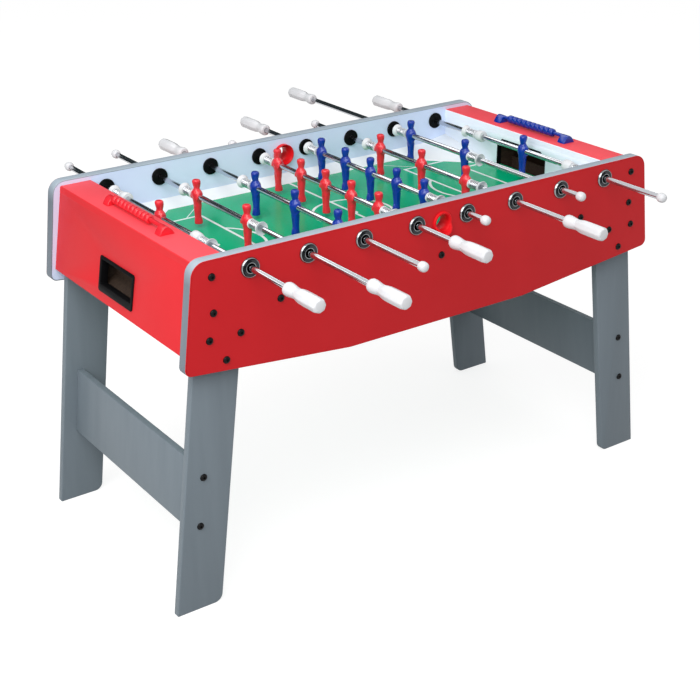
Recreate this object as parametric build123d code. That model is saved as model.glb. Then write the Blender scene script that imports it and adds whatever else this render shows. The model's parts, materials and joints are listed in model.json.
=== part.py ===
from build123d import *
import os
from math import cos, pi, radians, sin, sqrt, tan

os.makedirs("parts", exist_ok=True)

# Table football table with eight rods. Millimetres, +X along the table, +Y across it to the far side,
# +Z up from the floor point midway between the four feet.

# Playing space
inner_width = 602.0
rod_spacing = 136.4
goalie_to_wall = 35.6
rod_to_field = 75.0
field_thickness = 12.0
ramp_width = 29.0
ramp_height = 20.0
corner_ramp_length = 204.0
corner_ramp_height = 33.0
goal_width = 180.0
goal_height = 71.0
goal_chamfer = 18.0
goal_liner = 3.0
goal_wall_thickness = 12.0

# Side panels
panel_top_height = 790.0
panel_thickness = 26.0
panel_end_depth = 230.0
panel_belly_depth = 39.0
panel_belly_half = 240.0
panel_overhang = 16.5
panel_top_radius = 32.0
panel_end_radius = 15.0
panel_belly_radius = 90.0
edging_thickness = 2.5
splay_angle = 7.2
rod_drop = 35.0

# Ledges, end panels and ball return
ledge_depth = 75.5
ledge_drop = 10.0
ledge_thickness = 15.0
end_panel_depth = 192.0
end_panel_thickness = 15.0
end_panel_slant = 9.4
bezel_width = 156.0
bezel_height = 79.0
bezel_centre_depth = 133.0
bezel_border = 8.0
bezel_lower_lip = 17.0
bezel_proud = 3.0
bezel_sleeve = 2.5
bezel_corner = 4.0
chute_wall = 4.0
chute_drop = 8.0
chute_step_gap = 16.0
chute_step_rise = 12.0
chute_ball_gap = 45.0

# Legs
leg_width = 108.0
leg_thickness = 18.0
leg_inset = 32.0
leg_top_gap = 8.0
leg_toe_radius = 20.0
stretcher_inset = 32.5
stretcher_thickness = 16.0
stretcher_bottom = 180.0
stretcher_height = 153.0

# Rod bearings and ball entry
rod_diameter = 12.7
bush_radius = 10.0
bush_nose = 4.0
bush_disc_radius = 20.0
bush_disc_thickness = 5.0
dish_radius = 21.5
dish_depth = 5.0
dish_rim = 2.0
bearing_sides = 8
entry_sides = 12
entry_drop = 42.0
entry_bore_radius = 17.5
entry_wall = 2.5
entry_lip_radius = 26.0
entry_lip_wall = 1.5
entry_inner_lip = 11.0
entry_outer_lip = 5.0
entry_scoop = 21.0
entry_scoop_drop = 6.0

# Rods, players and bumpers
goalie_travel = 76.0
pair_travel = 129.0
trio_travel = 72.0
five_travel = 33.0
handle_margin = 99.0
cap_margin = 45.0
handle_length = 111.0
handle_bore_depth = 88.0
handle_mouth_radius = 12.0
handle_collar_radius = 14.2
handle_collar_start = 5.0
handle_collar_end = 13.0
handle_neck_radius = 11.0
handle_neck_place = 31.0
handle_grip_radius = 15.6
handle_grip_start = 53.0
handle_end_radius = 12.6
handle_end_taper = 6.0
cap_length = 20.5
cap_bore_depth = 14.0
cap_mouth_radius = 8.2
cap_ball_radius = 10.7
cap_ball_start = 5.5
cap_ball_end = 14.0
cap_tip_radius = 5.5
collar_length = 24.0
collar_radius = 14.0
shoulder_half = 13.0
head_reach = 38.0
foot_gap = 9.5
foot_half_length = 10.5
foot_half_width = 9.4
foot_height = 13.0
foot_shift = 0.8
foot_corner = 2.5
toe_taper = 1.5
instep = 4.0
ankle_half = 6.2
ankle_spread = 1.0
waist_taper = 2.5
chest_wall = 3.0
body_corner = 3.0
neck_corner = 1.8
neck_half = 4.5
neck_length = 5.0
head_height = 17.0
head_half_length = 7.8
head_half_width = 7.2
head_corner = 3.4
crown_half = 5.0
spring_length = 25.0
spring_radius = 9.6
spring_wire = 1.8
spring_turns = 2
cup_length = 20.0
cup_base_radius = 10.5
cup_rim_radius = 16.0
cup_hollow = 12.0
cup_wall = 1.5

# Scorers and bolts
scorer_span = 212.0
scorer_foot_length = 24.0
scorer_foot_width = 36.0
scorer_foot_waist = 0.3
scorer_height = 13.0
scorer_bar_radius = 4.0
bead_count = 10
bead_length = 16.2
bead_radius = 10.5
bead_spacing = 0.4
bead_sides = 8
bolt_radius = 8.0
bolt_height = 4.0
bolt_crown_radius = 5.0
bolt_sides = 6
bolt_edge = 18.5
corner_bolt_edge = 25.0
leg_bolt_drop = 36.0
leg_bolt_shares = (0.14, 0.87)
low_bolt_share = 0.56
field_bolt_rods = 3
handle_sides = 8
rod_bore_sides = 8

# Clearances
running_gap = 0.3
press_gap = 0.02
sleeve_gap = 0.1
cup_gap = 0.4
stop_gap = 0.5

# Each row of players from the left: name, players, handle side across the table, facing along the table,
# and where the rod rests as a share of its travel.
rows = [
    ("red_goalie", 1, -1, 1, 0.55),
    ("red_defence", 2, -1, 1, 0.12),
    ("blue_attack", 3, 1, -1, -0.97),
    ("red_midfield", 5, -1, 1, 0.36),
    ("blue_midfield", 5, 1, -1, 0.79),
    ("red_attack", 3, -1, 1, 0.10),
    ("blue_defence", 2, 1, -1, 0.92),
    ("blue_goalie", 1, 1, -1, -0.62),
]
travel = {1: goalie_travel, 2: pair_travel, 3: trio_travel, 5: five_travel}

# Worked out from the sizes above
inner_half = inner_width / 2
outer_half = inner_half + panel_thickness
splay = tan(radians(splay_angle))
slant = tan(radians(end_panel_slant))
rod_height = panel_top_height - rod_drop
field_height = rod_height - rod_to_field
wall_x = (len(rows) - 1) / 2 * rod_spacing + goalie_to_wall
ledge_top = panel_top_height - ledge_drop
ledge_bottom = ledge_top - ledge_thickness
end_x = wall_x + ledge_depth
panel_half = end_x + panel_overhang
end_bottom = ledge_top - end_panel_depth
leg_foot_x = panel_half + splay * panel_top_height - leg_inset
leg_top = field_height - field_thickness - leg_top_gap
rod_radius = rod_diameter / 2
entry_height = panel_top_height - entry_drop
entry_tube = entry_bore_radius + entry_wall
stop_reach = inner_half - bush_disc_thickness - stop_gap
bumper_length = spring_length + cup_length + 2 * running_gap
foot_reach = rod_to_field - foot_gap


def rod_x(row):
    return (row - (len(rows) - 1) / 2) * rod_spacing


def stop_offset(players):
    return stop_reach - travel[players] - bumper_length


def rest_slide(row):
    return rows[row][4] * travel[rows[row][1]]


def end_face_x(height):
    return end_x + slant * (ledge_top - height)


def leg_edge_x(height):
    return leg_foot_x - splay * height


def group(solids):
    return Compound(children=solids)


def across(profile, y_low, y_high):
    """Extrude a profile drawn in X and Z between two places across the table."""
    return Pos(0, y_low, 0) * extrude(Plane.XZ * profile, amount=y_high - y_low, dir=(0, 1, 0))


def board(outline, y_low, y_high):
    return across(Polygon(*outline, align=None), y_low, y_high)


def faceted(sections):
    """Solid with flat sides up +Z through outlines of equal point count, given as (height, outline)."""
    rings = [[Vector(x, y, height) for x, y in outline] for height, outline in sections]
    faces = [Face(Wire.make_polygon(ring)) for ring in (rings[0], rings[-1])]
    for low, high in zip(rings, rings[1:]):
        for corner in range(len(low)):
            after = (corner + 1) % len(low)
            faces.append(Face(Wire.make_polygon([low[corner], low[after], high[after], high[corner]])))
    return Solid(Shell(faces))


def regular(radius, sides):
    """Corners of a regular polygon, with a flat to +X."""
    turns = [2 * pi * (corner + 0.5) / sides for corner in range(sides)]
    return [(radius * cos(turn), radius * sin(turn)) for turn in turns]


def clearing(radius, sides):
    """Corners of a regular polygon whose flats stand at a radius."""
    return regular(radius / cos(pi / sides), sides)


def turned(profile, sides):
    """Faceted round piece up +Z through (height, radius) pairs."""
    return faceted([(height, regular(radius, sides)) for height, radius in profile])


def bored(solid, radius, low, high, sides):
    """Take a hole out along +Z whose flats stand at a radius."""
    return solid - faceted([(height, clearing(radius, sides)) for height in (low, high)])


def laid(solid, side):
    """Lay a piece made along +Z so that it points across the table, to +Y or to -Y."""
    return Rot(X=-90 * side) * solid


def both_ends(solid):
    return [mirror(solid, about=Plane.YZ), solid]


def both_sides(solid):
    return [solid, mirror(solid, about=Plane.XZ)]


def chamfered(half_x, half_y, corner, shift=0.0):
    """Points of a rectangle with corners cut at 45 degrees, shifted along X."""
    cut_x = half_x - corner
    cut_y = half_y - corner
    half = [(half_x, -cut_y), (half_x, cut_y), (cut_x, half_y), (-cut_x, half_y)]
    return [(x + shift, y) for x, y in half] + [(shift - x, -y) for x, y in half]


# Side panels


def panel_outline(inset):
    end_low = panel_top_height - panel_end_depth
    belly_low = end_low - panel_belly_depth
    end_low_x = panel_half + splay * panel_end_depth
    half = [(panel_half, panel_top_height), (end_low_x, end_low), (panel_belly_half, belly_low)]
    outline = Polygon(*half, *[(-x, z) for x, z in reversed(half)], align=None)
    corners = outline.vertices().sort_by(Axis.Y)
    outline = fillet(corners[4:], panel_top_radius)
    outline = fillet(outline.vertices().group_by(Axis.Y)[0], panel_belly_radius)
    corners = outline.vertices().sort_by(Axis.X)
    outline = fillet([corners[0], corners[-1]], panel_end_radius)
    return offset(outline, amount=-inset) if inset else outline


def side_panel():
    core = panel_outline(edging_thickness)
    for row in range(len(rows)):
        core -= Pos(rod_x(row), rod_height) * Polygon(*regular(bush_radius + sleeve_gap, bearing_sides), align=None)
    core -= Pos(0, entry_height) * Polygon(*regular(entry_tube + sleeve_gap, entry_sides), align=None)
    return across(core, -outer_half, -inner_half)


def edging():
    band = panel_outline(0) - panel_outline(edging_thickness)
    return across(band, -outer_half, -inner_half)


# Ends of the cabinet


def end_plane():
    height = ledge_top - bezel_centre_depth * cos(radians(end_panel_slant))
    normal = (cos(radians(end_panel_slant)), 0, sin(radians(end_panel_slant)))
    return Plane(origin=(end_face_x(height), 0, height), x_dir=(0, 1, 0), z_dir=normal)


def bezel_opening():
    height = bezel_height - bezel_border - bezel_lower_lip
    return Pos(0, (bezel_lower_lip - bezel_border) / 2) * Rectangle(bezel_width - 2 * bezel_border, height)


def end_panel():
    depth = end_panel_thickness / cos(radians(end_panel_slant))
    outline = [
        (end_face_x(ledge_bottom), ledge_bottom),
        (end_face_x(end_bottom), end_bottom),
        (end_face_x(end_bottom) - depth, end_bottom),
        (end_face_x(ledge_bottom) - depth, ledge_bottom),
    ]
    panel = board(outline, -inner_half, inner_half)
    window = offset(bezel_opening(), amount=bezel_sleeve, kind=Kind.INTERSECTION)
    return panel - extrude(end_plane() * window, amount=-2 * end_panel_thickness, both=True)


def bezel():
    plate = chamfer(Rectangle(bezel_width, bezel_height).vertices(), bezel_corner)
    flange = extrude(end_plane() * (plate - bezel_opening()), amount=bezel_proud)
    sleeve = offset(bezel_opening(), amount=bezel_sleeve, kind=Kind.INTERSECTION) - bezel_opening()
    return flange + extrude(end_plane() * sleeve, amount=-end_panel_thickness)


def ledge():
    outline = [
        (wall_x, ledge_bottom),
        (wall_x, ledge_top),
        (end_x, ledge_top),
        (end_face_x(ledge_bottom), ledge_bottom),
    ]
    return board(outline, -inner_half, inner_half)


def goal_outline(inset):
    half = goal_width / 2 - inset
    top = goal_height - inset
    side = top - goal_chamfer
    arch = [(half, 0), (half, side), (half - goal_chamfer, top)]
    return Polygon(*arch, *[(-y, z) for y, z in reversed(arch)], align=None)


def through_wall(sketch, depth):
    plane = Plane(origin=(wall_x, 0, field_height), x_dir=(0, 1, 0), z_dir=(1, 0, 0))
    return extrude(plane * sketch, amount=depth)


def goal_wall():
    height = ledge_bottom - field_height
    wall = Pos(0, height / 2) * Rectangle(inner_width, height)
    return through_wall(wall - goal_outline(0), goal_wall_thickness)


def goal_frame():
    return through_wall(goal_outline(0) - goal_outline(goal_liner), goal_wall_thickness)


def chute():
    """Open channel sloping down from the goal to the return window, with a step that the ball rolls round."""
    start = wall_x + goal_wall_thickness
    sleeve_low = end_plane().origin.Z - bezel_height / 2 + bezel_lower_lip
    floor_low = sleeve_low - chute_drop
    floor_high = field_height - field_thickness - chute_drop
    back = end_panel_thickness / cos(radians(end_panel_slant)) + stop_gap
    outer = [
        (start, floor_high - chute_wall),
        (end_face_x(floor_low) - back, floor_low - chute_wall),
        (end_face_x(ledge_bottom) - back, ledge_bottom),
        (start, ledge_bottom),
    ]
    inner = [
        (start, floor_high),
        (end_face_x(floor_low) - back, floor_low),
        (end_face_x(floor_low), ledge_top),
        (start, ledge_top),
    ]
    half = goal_width / 2
    trough = board(outer, -half - chute_wall, half + chute_wall)
    step_top = field_height + chute_step_rise
    step_x = end_face_x(step_top) - back - chute_step_gap
    step = board([
        (step_x, floor_low),
        (step_x, step_top),
        (step_x - chute_wall, step_top),
        (step_x - chute_wall, floor_low),
    ], chute_ball_gap - half, half)
    return trough - board(inner, -half, half) + (step & trough)


# Field


def playfield():
    length = 2 * (wall_x + goal_wall_thickness)
    return Pos(0, 0, field_height - field_thickness / 2) * Box(length, inner_width, field_thickness)


def corner_wedge():
    """Wedge that rises from a diagonal on the field to the corner of the playing space."""
    low = Polygon((0, 0), (-corner_ramp_length, 0), (0, corner_ramp_length), align=None)
    prism = extrude(low, amount=corner_ramp_height, dir=(0, 0, 1))
    down = (corner_ramp_height, -corner_ramp_height, -corner_ramp_length)
    top = Plane(origin=(-corner_ramp_length, 0, 0), x_dir=(1, 1, 0), z_dir=down)
    return Pos(wall_x, -inner_half, field_height) * split(prism, bisect_by=top, keep=Keep.TOP)


def field_ramp():
    section = [(0, 0), (ramp_width, 0), (0, ramp_height)]
    face = Plane(origin=(-wall_x, -inner_half, field_height), x_dir=(0, 1, 0), z_dir=(1, 0, 0)) * Polygon(
        *section, align=None)
    strip = extrude(face, amount=2 * wall_x)
    wedge = corner_wedge()
    return strip + wedge + mirror(wedge, about=Plane.YZ)


# Legs


def leg():
    """Board leg on the right, against the inner face of the near side panel."""
    outline = [
        (leg_edge_x(0), 0),
        (leg_edge_x(leg_top), leg_top),
        (leg_edge_x(leg_top) - leg_width, leg_top),
        (leg_edge_x(0) - leg_width, 0),
    ]
    profile = Polygon(*outline, align=None)
    toe = profile.vertices().sort_by_distance((leg_edge_x(0) - leg_width, 0))[0]
    profile = fillet(toe, leg_toe_radius)
    return across(profile, -inner_half, -inner_half + leg_thickness)


def stretcher():
    top = stretcher_bottom + stretcher_height
    outer_low = leg_edge_x(stretcher_bottom) - stretcher_inset
    outer_high = leg_edge_x(top) - stretcher_inset
    outline = [
        (outer_low, stretcher_bottom),
        (outer_high, top),
        (outer_high - stretcher_thickness, top),
        (outer_low - stretcher_thickness, stretcher_bottom),
    ]
    return board(outline, -inner_half + leg_thickness, inner_half - leg_thickness)


# Bearings and ball entry, made along +Z from a side panel's inner face outwards


def bush():
    body = turned([
        (-bush_disc_thickness, bush_disc_radius),
        (0, bush_disc_radius),
        (0, bush_radius),
        (panel_thickness + bush_nose, bush_radius),
    ], bearing_sides)
    return bored(body, rod_radius + running_gap, -bush_disc_radius, panel_thickness + dish_radius, bearing_sides)


def dish():
    body = turned([(panel_thickness, dish_radius), (panel_thickness + dish_depth, dish_radius - dish_rim)],
                  bearing_sides)
    hollow = turned([
        (panel_thickness, bush_radius + press_gap),
        (panel_thickness + dish_rim, bush_radius + press_gap),
        (panel_thickness + dish_depth, dish_radius - dish_rim),
    ], bearing_sides)
    return body - hollow


def entry_cup():
    """Tube through the panel with a round lip at both ends and a scoop under the outer one."""
    mouth = entry_lip_radius - entry_lip_wall
    body = turned([
        (-entry_inner_lip, entry_lip_radius),
        (0, entry_lip_radius),
        (0, entry_tube),
        (panel_thickness, entry_tube),
        (panel_thickness, entry_lip_radius),
        (panel_thickness + entry_scoop, entry_lip_radius),
    ], entry_sides)
    hollow = turned([
        (-entry_inner_lip, mouth),
        (0, entry_bore_radius),
        (panel_thickness, entry_bore_radius),
        (panel_thickness + entry_scoop, mouth),
    ], entry_sides)
    lip_height = panel_thickness + entry_outer_lip
    slope = (entry_scoop - entry_outer_lip) / (entry_lip_radius - entry_scoop_drop)
    ring = Plane(origin=(0, 0, lip_height), z_dir=(0, 0, -1))
    scoop = Plane(origin=(0, -entry_scoop_drop, lip_height), z_dir=(0, -slope, -1))
    cup = body - hollow
    return split(cup, bisect_by=ring, keep=Keep.TOP) + split(cup, bisect_by=scoop, keep=Keep.TOP)


def at_bearings(solid):
    near = laid(solid, -1)
    places = [(rod_x(row), rod_height) for row in range(len(rows))]
    fitted = [Pos(x, -inner_half, z) * near for x, z in places]
    return fitted + [mirror(piece, about=Plane.XZ) for piece in fitted]


# Scorers


def scorer_rail():
    """Bar over the ledge between two feet with hollow flanks."""
    low = scorer_foot_width / 2
    high = scorer_bar_radius + bead_spacing
    top = scorer_height + high
    waist = high + scorer_foot_waist * (low - high)
    waist_height = scorer_foot_waist * top
    outline = [(low, 0), (waist, waist_height), (high, top), (-high, top), (-waist, waist_height), (-low, 0)]
    foot = board(outline, scorer_span / 2, scorer_span / 2 + scorer_foot_length)
    bar = laid(turned([(0, scorer_bar_radius), (scorer_span, scorer_bar_radius)], bead_sides), 1)
    return Pos(0, -scorer_span / 2, scorer_height) * bar + both_sides(foot)


def scorer_beads(rest):
    """Row of beads with one end at the far foot when rest is 1 and at the near foot when it is -1."""
    barrel = turned([(0, bead_radius), (bead_length, bead_radius)], bead_sides)
    bead = laid(bored(barrel, scorer_bar_radius + running_gap, 0, bead_length, bead_sides), 1)
    step = bead_length + bead_spacing
    row_length = bead_count * step - bead_spacing
    play = (scorer_span - row_length) / 2 - bead_spacing
    start = rest * play - row_length / 2
    return [Pos(0, start + number * step, scorer_height) * bead for number in range(bead_count)]


def on_ledge(side, solids):
    middle = side * (wall_x + ledge_depth / 2)
    return group([Pos(middle, 0, ledge_top) * solid for solid in solids])


# Bolts


def bolt_heads(places, y_face):
    """Domed heads on a face that looks to -Y."""
    head = turned([(0, bolt_radius), (bolt_height, bolt_crown_radius)], bolt_sides)
    return [Pos(x, y_face, z) * laid(head, -1) for x, z in places]


def four_way(places, y_face):
    right = bolt_heads(places, y_face)
    near = right + [mirror(head, about=Plane.YZ) for head in right]
    return near + [mirror(head, about=Plane.XZ) for head in near]


def cabinet_bolts():
    high = leg_top - leg_bolt_drop
    low = (panel_top_height - panel_end_depth + end_bottom) / 2
    field_middle = field_height - field_thickness / 2
    corner_x = end_x - corner_bolt_edge
    places = [
        (corner_x, rod_height),
        (corner_x, field_height),
        (leg_edge_x(high) - bolt_edge, high),
        (leg_edge_x(high) - leg_width + bolt_edge, high),
        (leg_edge_x(low) - leg_width * low_bolt_share, low),
        (field_bolt_rods * rod_spacing, field_middle),
    ]
    middle = bolt_heads([(0, field_middle)], -outer_half)
    return group(four_way(places, -outer_half) + both_sides(middle[0]))


def leg_bolts():
    middle = stretcher_inset + stretcher_thickness / 2
    heights = [stretcher_bottom + stretcher_height * share for share in leg_bolt_shares]
    return group(four_way([(leg_edge_x(z) - middle, z) for z in heights], -inner_half))


# Rods


def player():
    """Figure upright on the rod axis, facing +X, hung by a bore through its chest."""
    bore = rod_radius + press_gap
    chest = bore + chest_wall
    ankle = foot_height + instep - foot_reach
    shoulder = head_reach - head_height - neck_length
    body = faceted([
        (-foot_reach, chamfered(foot_half_length, foot_half_width, foot_corner, foot_shift)),
        (foot_height - foot_reach, chamfered(foot_half_length - toe_taper, foot_half_width, foot_corner, foot_shift)),
        (ankle, chamfered(ankle_half, ankle_half + ankle_spread, foot_corner)),
        (-chest, chamfered(bore + toe_taper, shoulder_half - waist_taper, body_corner)),
        (chest, chamfered(chest, shoulder_half, body_corner)),
        (shoulder, chamfered(ankle_half, shoulder_half - waist_taper, body_corner)),
        (head_reach - head_height, chamfered(neck_half, neck_half, neck_corner)),
        (head_reach - head_height / 2, chamfered(head_half_length, head_half_width, head_corner)),
        (head_reach, chamfered(crown_half, crown_half, neck_corner)),
    ])
    hole = Polygon(*clearing(bore, rod_bore_sides), align=None)
    return body - across(hole, -2 * shoulder_half, 2 * shoulder_half)


def player_offsets(players):
    if players == 1:
        return [0.0]
    outer = stop_offset(players) - shoulder_half
    return [outer * (2 * number / (players - 1) - 1) for number in range(players)]


def handle():
    """Waisted grip with eight flats, its mouth at the origin and its end up +Z."""
    body = turned([
        (0, handle_mouth_radius),
        (handle_collar_start, handle_collar_radius),
        (handle_collar_end, handle_collar_radius),
        (handle_neck_place, handle_neck_radius),
        (handle_grip_start, handle_grip_radius),
        (handle_length - handle_end_taper, handle_grip_radius),
        (handle_length, handle_end_radius),
    ], handle_sides)
    return bored(body, rod_radius + press_gap, 0, handle_bore_depth, rod_bore_sides)


def end_cap():
    body = turned([
        (0, cap_mouth_radius),
        (cap_ball_start, cap_ball_radius),
        (cap_ball_end, cap_ball_radius),
        (cap_length, cap_tip_radius),
    ], bearing_sides)
    return bored(body, rod_radius + press_gap, 0, cap_bore_depth, rod_bore_sides)


def stop_collar():
    body = turned([
        (0, collar_radius),
        (collar_length / 2, collar_radius),
        (collar_length, cup_base_radius),
    ], bearing_sides)
    return bored(body, rod_radius + press_gap, 0, collar_length, bearing_sides)


def rod_bar(low, high):
    return Pos(0, low, 0) * laid(extrude(Circle(rod_radius), amount=high - low), 1)


def spring_path():
    """Helix up +Z as two tangent arcs to each half turn, with a short straight lead at both ends."""
    rise = (spring_length - spring_wire) / spring_turns
    slope = rise / (2 * pi * spring_radius)
    flat = 1 / sqrt(1 + slope * slope)
    pieces = []
    for half in range(2 * spring_turns):
        way = 1 if half % 2 == 0 else -1
        start = Vector(way * spring_radius, 0, spring_wire / 2 + half * rise / 2)
        finish = Vector(-way * spring_radius, 0, spring_wire / 2 + (half + 1) * rise / 2)
        leave = Vector(0, way * flat, slope * flat)
        arrive = Vector(0, -way * flat, slope * flat)
        chord = finish - start
        turn = leave + arrive
        square = turn.dot(turn) - 4
        reach = (chord.dot(turn) - sqrt(chord.dot(turn) ** 2 - square * chord.dot(chord))) / square
        first = start + leave * reach
        second = finish - arrive * reach
        middle = (first + second) * 0.5
        if half == 0:
            pieces.append(Line(start - leave * spring_wire, start))
        pieces.append(TangentArc(start, middle, tangent=leave))
        pieces.append(TangentArc(middle, finish, tangent=second - first))
    pieces.append(Line(finish, finish + arrive * spring_wire))
    return Wire(pieces)


def coil_gap(path):
    """Least clear distance between turns of the wire, measured on points along it."""
    count = 60 * spring_turns
    points = [path.position_at(number / count) for number in range(count + 1)]
    apart = count // (2 * spring_turns)
    spans = [(points[b] - points[a]).length for a in range(count + 1) for b in range(a + apart, count + 1)]
    return min(spans) - spring_wire


def spring():
    path = spring_path()
    print("spring coil gap", round(coil_gap(path), 2))
    section = Plane(origin=path.position_at(0), z_dir=path.tangent_at(0)) * RegularPolygon(spring_wire / 2, 3)
    return sweep(section, path=path)


def bumper_cup():
    body = turned([(0, cup_base_radius), (cup_length, cup_rim_radius)], bearing_sides)
    hollow = faceted([
        (0, clearing(rod_radius + cup_gap, bearing_sides)),
        (cup_length - cup_hollow, clearing(rod_radius + cup_gap, bearing_sides)),
        (cup_length, regular(cup_rim_radius - cup_wall, bearing_sides)),
    ])
    return body - hollow


def at_row(row, solid):
    return Pos(rod_x(row), rest_slide(row), rod_height) * solid


def row_nodes(row, figure, coil):
    name, players, side, facing, share = rows[row]
    handle_reach = outer_half + travel[players] + handle_margin
    cap_reach = outer_half + travel[players] + cap_margin
    ends = sorted([side * (handle_reach + handle_bore_depth - stop_gap),
                   -side * (cap_reach + cap_bore_depth - stop_gap)])
    turned_figure = figure if facing > 0 else mirror(figure, about=Plane.YZ)
    figures = [Pos(0, offset_y, 0) * turned_figure for offset_y in player_offsets(players)]
    fittings = [Pos(0, side * handle_reach, 0) * laid(handle(), side),
                Pos(0, -side * cap_reach, 0) * laid(end_cap(), -side)]
    if players == 1:
        collar = Pos(0, stop_offset(1) - collar_length, 0) * laid(stop_collar(), 1)
        fittings += both_sides(collar)
    stack = [Pos(0, 0, running_gap) * coil, Pos(0, 0, 2 * running_gap + spring_length) * bumper_cup()]
    bumpers = []
    for way in (-1, 1):
        bumpers += [Pos(0, way * stop_offset(players), 0) * laid(piece, way) for piece in stack]
    return {
        name + "_rod": group([at_row(row, rod_bar(*ends))]),
        name + "_players": group([at_row(row, solid) for solid in figures]),
        name + "_grip": group([at_row(row, solid) for solid in fittings]),
        name + "_bumpers": group([at_row(row, solid) for solid in bumpers]),
    }


# All the pieces by name

near_panel = side_panel()
near_leg = leg()
right_end = end_panel()
right_stretcher = stretcher()
near_entry = Pos(0, -inner_half, entry_height) * laid(entry_cup(), -1)

nodes = {
    "front_side_panel": near_panel,
    "rear_side_panel": mirror(near_panel, about=Plane.XZ),
    "side_panel_edging": group(both_sides(edging())),
    "left_end_panel": mirror(right_end, about=Plane.YZ),
    "right_end_panel": right_end,
    "end_ledges": group(both_ends(ledge())),
    "goal_walls": group(both_ends(goal_wall())),
    "goal_frames": group(both_ends(goal_frame())),
    "ball_chutes": group(both_ends(chute())),
    "return_bezels": group(both_ends(bezel())),
    "playfield": playfield(),
    "field_ramps": group(both_sides(field_ramp())),
    "front_left_leg": mirror(near_leg, about=Plane.YZ),
    "front_right_leg": near_leg,
    "rear_left_leg": mirror(mirror(near_leg, about=Plane.YZ), about=Plane.XZ),
    "rear_right_leg": mirror(near_leg, about=Plane.XZ),
    "left_stretcher": mirror(right_stretcher, about=Plane.YZ),
    "right_stretcher": right_stretcher,
    "bearing_bushes": group(at_bearings(bush())),
    "bearing_dishes": group(at_bearings(dish())),
    "ball_entry_cups": group(both_sides(near_entry)),
    "red_scorer_rail": on_ledge(-1, [scorer_rail()]),
    "blue_scorer_rail": on_ledge(1, [scorer_rail()]),
    "red_scorer_beads": on_ledge(-1, scorer_beads(1)),
    "blue_scorer_beads": on_ledge(1, scorer_beads(0.3)),
    "cabinet_bolts": cabinet_bolts(),
    "leg_bolts": leg_bolts(),
}
standing_player = player()
bumper_spring = spring()
for row_number in range(len(rows)):
    nodes.update(row_nodes(row_number, standing_player, bumper_spring))

for node_name, shape in nodes.items():
    export_step(shape, "parts/" + node_name + ".step")
print(len(nodes), "nodes written")
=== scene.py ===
import json
import math

import bmesh
import bpy
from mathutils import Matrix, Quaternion, Vector

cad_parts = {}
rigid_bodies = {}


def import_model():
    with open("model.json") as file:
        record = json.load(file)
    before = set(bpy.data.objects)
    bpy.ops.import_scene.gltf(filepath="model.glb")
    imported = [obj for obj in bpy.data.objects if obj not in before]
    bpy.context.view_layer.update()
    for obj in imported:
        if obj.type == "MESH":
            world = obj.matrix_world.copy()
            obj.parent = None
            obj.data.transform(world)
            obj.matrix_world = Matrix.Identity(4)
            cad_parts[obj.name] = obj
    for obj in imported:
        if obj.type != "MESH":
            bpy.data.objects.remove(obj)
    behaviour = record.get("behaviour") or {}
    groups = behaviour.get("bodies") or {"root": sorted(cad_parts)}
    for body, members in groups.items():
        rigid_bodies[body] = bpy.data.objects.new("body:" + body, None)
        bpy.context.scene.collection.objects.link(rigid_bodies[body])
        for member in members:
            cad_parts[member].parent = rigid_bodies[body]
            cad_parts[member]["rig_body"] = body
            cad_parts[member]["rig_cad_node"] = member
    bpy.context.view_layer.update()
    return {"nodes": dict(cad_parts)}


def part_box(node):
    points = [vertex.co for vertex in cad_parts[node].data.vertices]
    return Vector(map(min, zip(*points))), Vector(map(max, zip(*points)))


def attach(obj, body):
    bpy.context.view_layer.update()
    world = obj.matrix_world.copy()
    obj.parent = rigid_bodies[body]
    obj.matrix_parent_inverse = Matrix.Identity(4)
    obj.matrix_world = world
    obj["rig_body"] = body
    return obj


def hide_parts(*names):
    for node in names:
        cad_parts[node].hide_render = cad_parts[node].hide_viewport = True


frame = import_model()
nodes = frame["nodes"]
scene = bpy.context.scene
print("frame loaded:", len(nodes), "nodes")

# camera at the photograph's viewing angle
view = {"place": (-1.7548, -2.4885, 1.7250), "aim": (0.52115, 0.74467, -0.41698), "roll": -0.52,
        "lens": 70.92, "sensor": 36.0, "farthest": 40.0}
cameraData = bpy.data.cameras.new("photoCamera")
cameraData.lens = view["lens"]
cameraData.sensor_width = view["sensor"]
cameraData.clip_end = view["farthest"]
cameraObject = bpy.data.objects.new("photoCamera", cameraData)
scene.collection.objects.link(cameraObject)
cameraObject.location = view["place"]
cameraObject.rotation_mode = "QUATERNION"
straight = Vector(view["aim"]).to_track_quat("-Z", "Y")
cameraObject.rotation_quaternion = straight @ Quaternion((0, 0, 1), math.radians(view["roll"]))
scene.camera = cameraObject
scene.view_settings.view_transform = "Standard"


def linear(red, green, blue):  # colours are written as on a paint card, 0 to 255
    steps = [value / 255 for value in (red, green, blue)]
    return tuple(s / 12.92 if s <= 0.04045 else ((s + 0.055) / 1.055) ** 2.4 for s in steps) + (1.0,)


# node building blocks
noiseSpan = (0.3, 0.7)  # part of a noise's range that is spread over a look
grainRoughness = 0.55
cloudDetail, skinDetail = 4.0, 2.0
skinDepth = 0.0004
usualShine = 0.5


def newFinish(name):
    finish = bpy.data.materials.new(name)
    finish.use_nodes = True
    return finish, finish.node_tree, finish.node_tree.nodes["Principled BSDF"]


def calc(tree, operation, first, second=None, third=None):
    node = tree.nodes.new("ShaderNodeMath")
    node.operation = operation
    for place, value in enumerate((first, second, third)):
        if value is None:
            continue
        if isinstance(value, (int, float)):
            node.inputs[place].default_value = value
        else:
            tree.links.new(value, node.inputs[place])
    return node.outputs[0]


def objectPoint(tree, stretch=(1, 1, 1)):
    point = tree.nodes.new("ShaderNodeTexCoord").outputs["Object"]
    mapping = tree.nodes.new("ShaderNodeMapping")
    mapping.inputs["Scale"].default_value = stretch
    tree.links.new(point, mapping.inputs["Vector"])
    return mapping.outputs["Vector"]


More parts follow.
